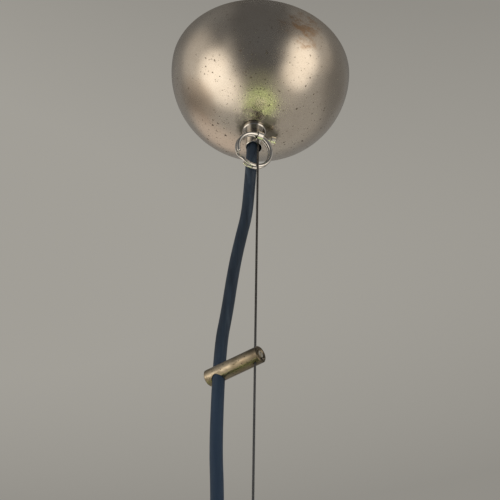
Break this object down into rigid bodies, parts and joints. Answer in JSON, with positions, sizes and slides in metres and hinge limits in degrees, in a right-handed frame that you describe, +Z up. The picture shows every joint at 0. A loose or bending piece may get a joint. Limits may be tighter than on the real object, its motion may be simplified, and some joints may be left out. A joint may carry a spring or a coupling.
{
  "type": "glass pendant light",
  "caption": "Pendant lamp on a steel wire: half-ball nickel ceiling canopy with collar and split ring, slack black flex held off the wire by a brass cross-bar, green glass dome shade.",
  "frame": {"origin": "on the ceiling, in the middle between the bridge's two slots", "axes": "+Z up into the ceiling, X along the bridge, -Y toward the viewer"},
  "size_m": [0.3831, 0.3831, 0.5545],
  "materials": {
    "satin_nickel": "satin nickel plate, lightly tarnished",
    "zinc_steel": "zinc-plated steel",
    "soft_aluminium": "plain aluminium",
    "pale_plastic": "moulded, matt",
    "bright_brass": "plain brass",
    "black_flex": "smooth black sheath",
    "brown_core": "insulated core",
    "blue_core": "insulated core",
    "bright_chrome": "bright plate",
    "wire_steel": "stranded steel",
    "aged_brass": "aged, brown in places",
    "black_plastic": "moulded black",
    "gasket_rubber": "plain rubber",
    "green_glass": "clear green glass",
    "white_ceramic": "glazed ceramic",
    "opal_glass": "opal white glass"
  },
  "bodies": {
    "pendant": {"canopy": "satin_nickel", "bridge": "zinc_steel", "threaded_tube": "zinc_steel", "tube_nuts": "zinc_steel", "stop_plate": "zinc_steel", "wire_ferrule": "soft_aluminium", "terminal_block": "pale_plastic", "terminal_screws": "bright_brass", "block_screw": "zinc_steel", "cord_tail": "black_flex", "core_end_brown": "brown_core", "core_end_blue": "blue_core", "collar": "bright_chrome", "wire_rope": "wire_steel", "flex_cord": "black_flex", "wire_gripper": "aged_brass", "gripper_nut": "zinc_steel", "gland_body": "black_plastic", "gland_nut": "black_plastic", "gland_lock_nut": "black_plastic", "head_cap": "satin_nickel", "hanger_bracket": "zinc_steel", "bracket_screws": "zinc_steel", "upper_gasket": "gasket_rubber", "glass_shade": "green_glass", "lower_gasket": "gasket_rubber", "clamp_plate": "satin_nickel", "nipple": "zinc_steel", "nipple_nut": "zinc_steel", "head_core_brown": "brown_core", "head_core_blue": "blue_core", "holder_cap": "black_plastic", "holder_skirt": "black_plastic", "contact_insert": "white_ceramic", "thread_shell": "bright_brass", "centre_contact": "bright_brass"},
    "side_screw": {"clamp_screw": "bright_chrome"},
    "ring": {"split_ring": "bright_chrome"},
    "cross_bar": {"cross_bar": "aged_brass"},
    "grub": {"grub_screw": "bright_chrome"},
    "bulb": {"bulb_contact": "soft_aluminium", "bulb_insulator": "black_plastic", "bulb_cap": "soft_aluminium", "bulb_glass": "opal_glass"}
  },
  "joints": [
    {"name": "clamp_screw_turn", "type": "hinge", "parent": "pendant", "child": "side_screw", "pos_m": [0, 0, -0.06717], "axis": [0.9613, 0.2756, 0], "range_deg": [0, 720]},
    {"name": "ring_swing", "type": "hinge", "parent": "pendant", "child": "ring", "pos_m": [0.00328, -0.00702, -0.07541], "axis": [0.9063, 0.4226, 0], "range_deg": [0, 4.5]},
    {"name": "cross_bar_slide", "type": "slide", "parent": "pendant", "child": "cross_bar", "axis": [0, 0, -1], "range_m": [0, 0.036]},
    {"name": "grub_turn", "type": "hinge", "parent": "cross_bar", "child": "grub", "pos_m": [0.00255, -0.00245, -0.25246], "axis": [0.8039, -0.5948, 0], "range_deg": [0, 720]},
    {"name": "bulb_turn", "type": "hinge", "parent": "pendant", "child": "bulb", "pos_m": [0.00255, -0.00245, -0.4833], "axis": [0, 0, -1], "range_deg": [0, 900]}
  ]
}
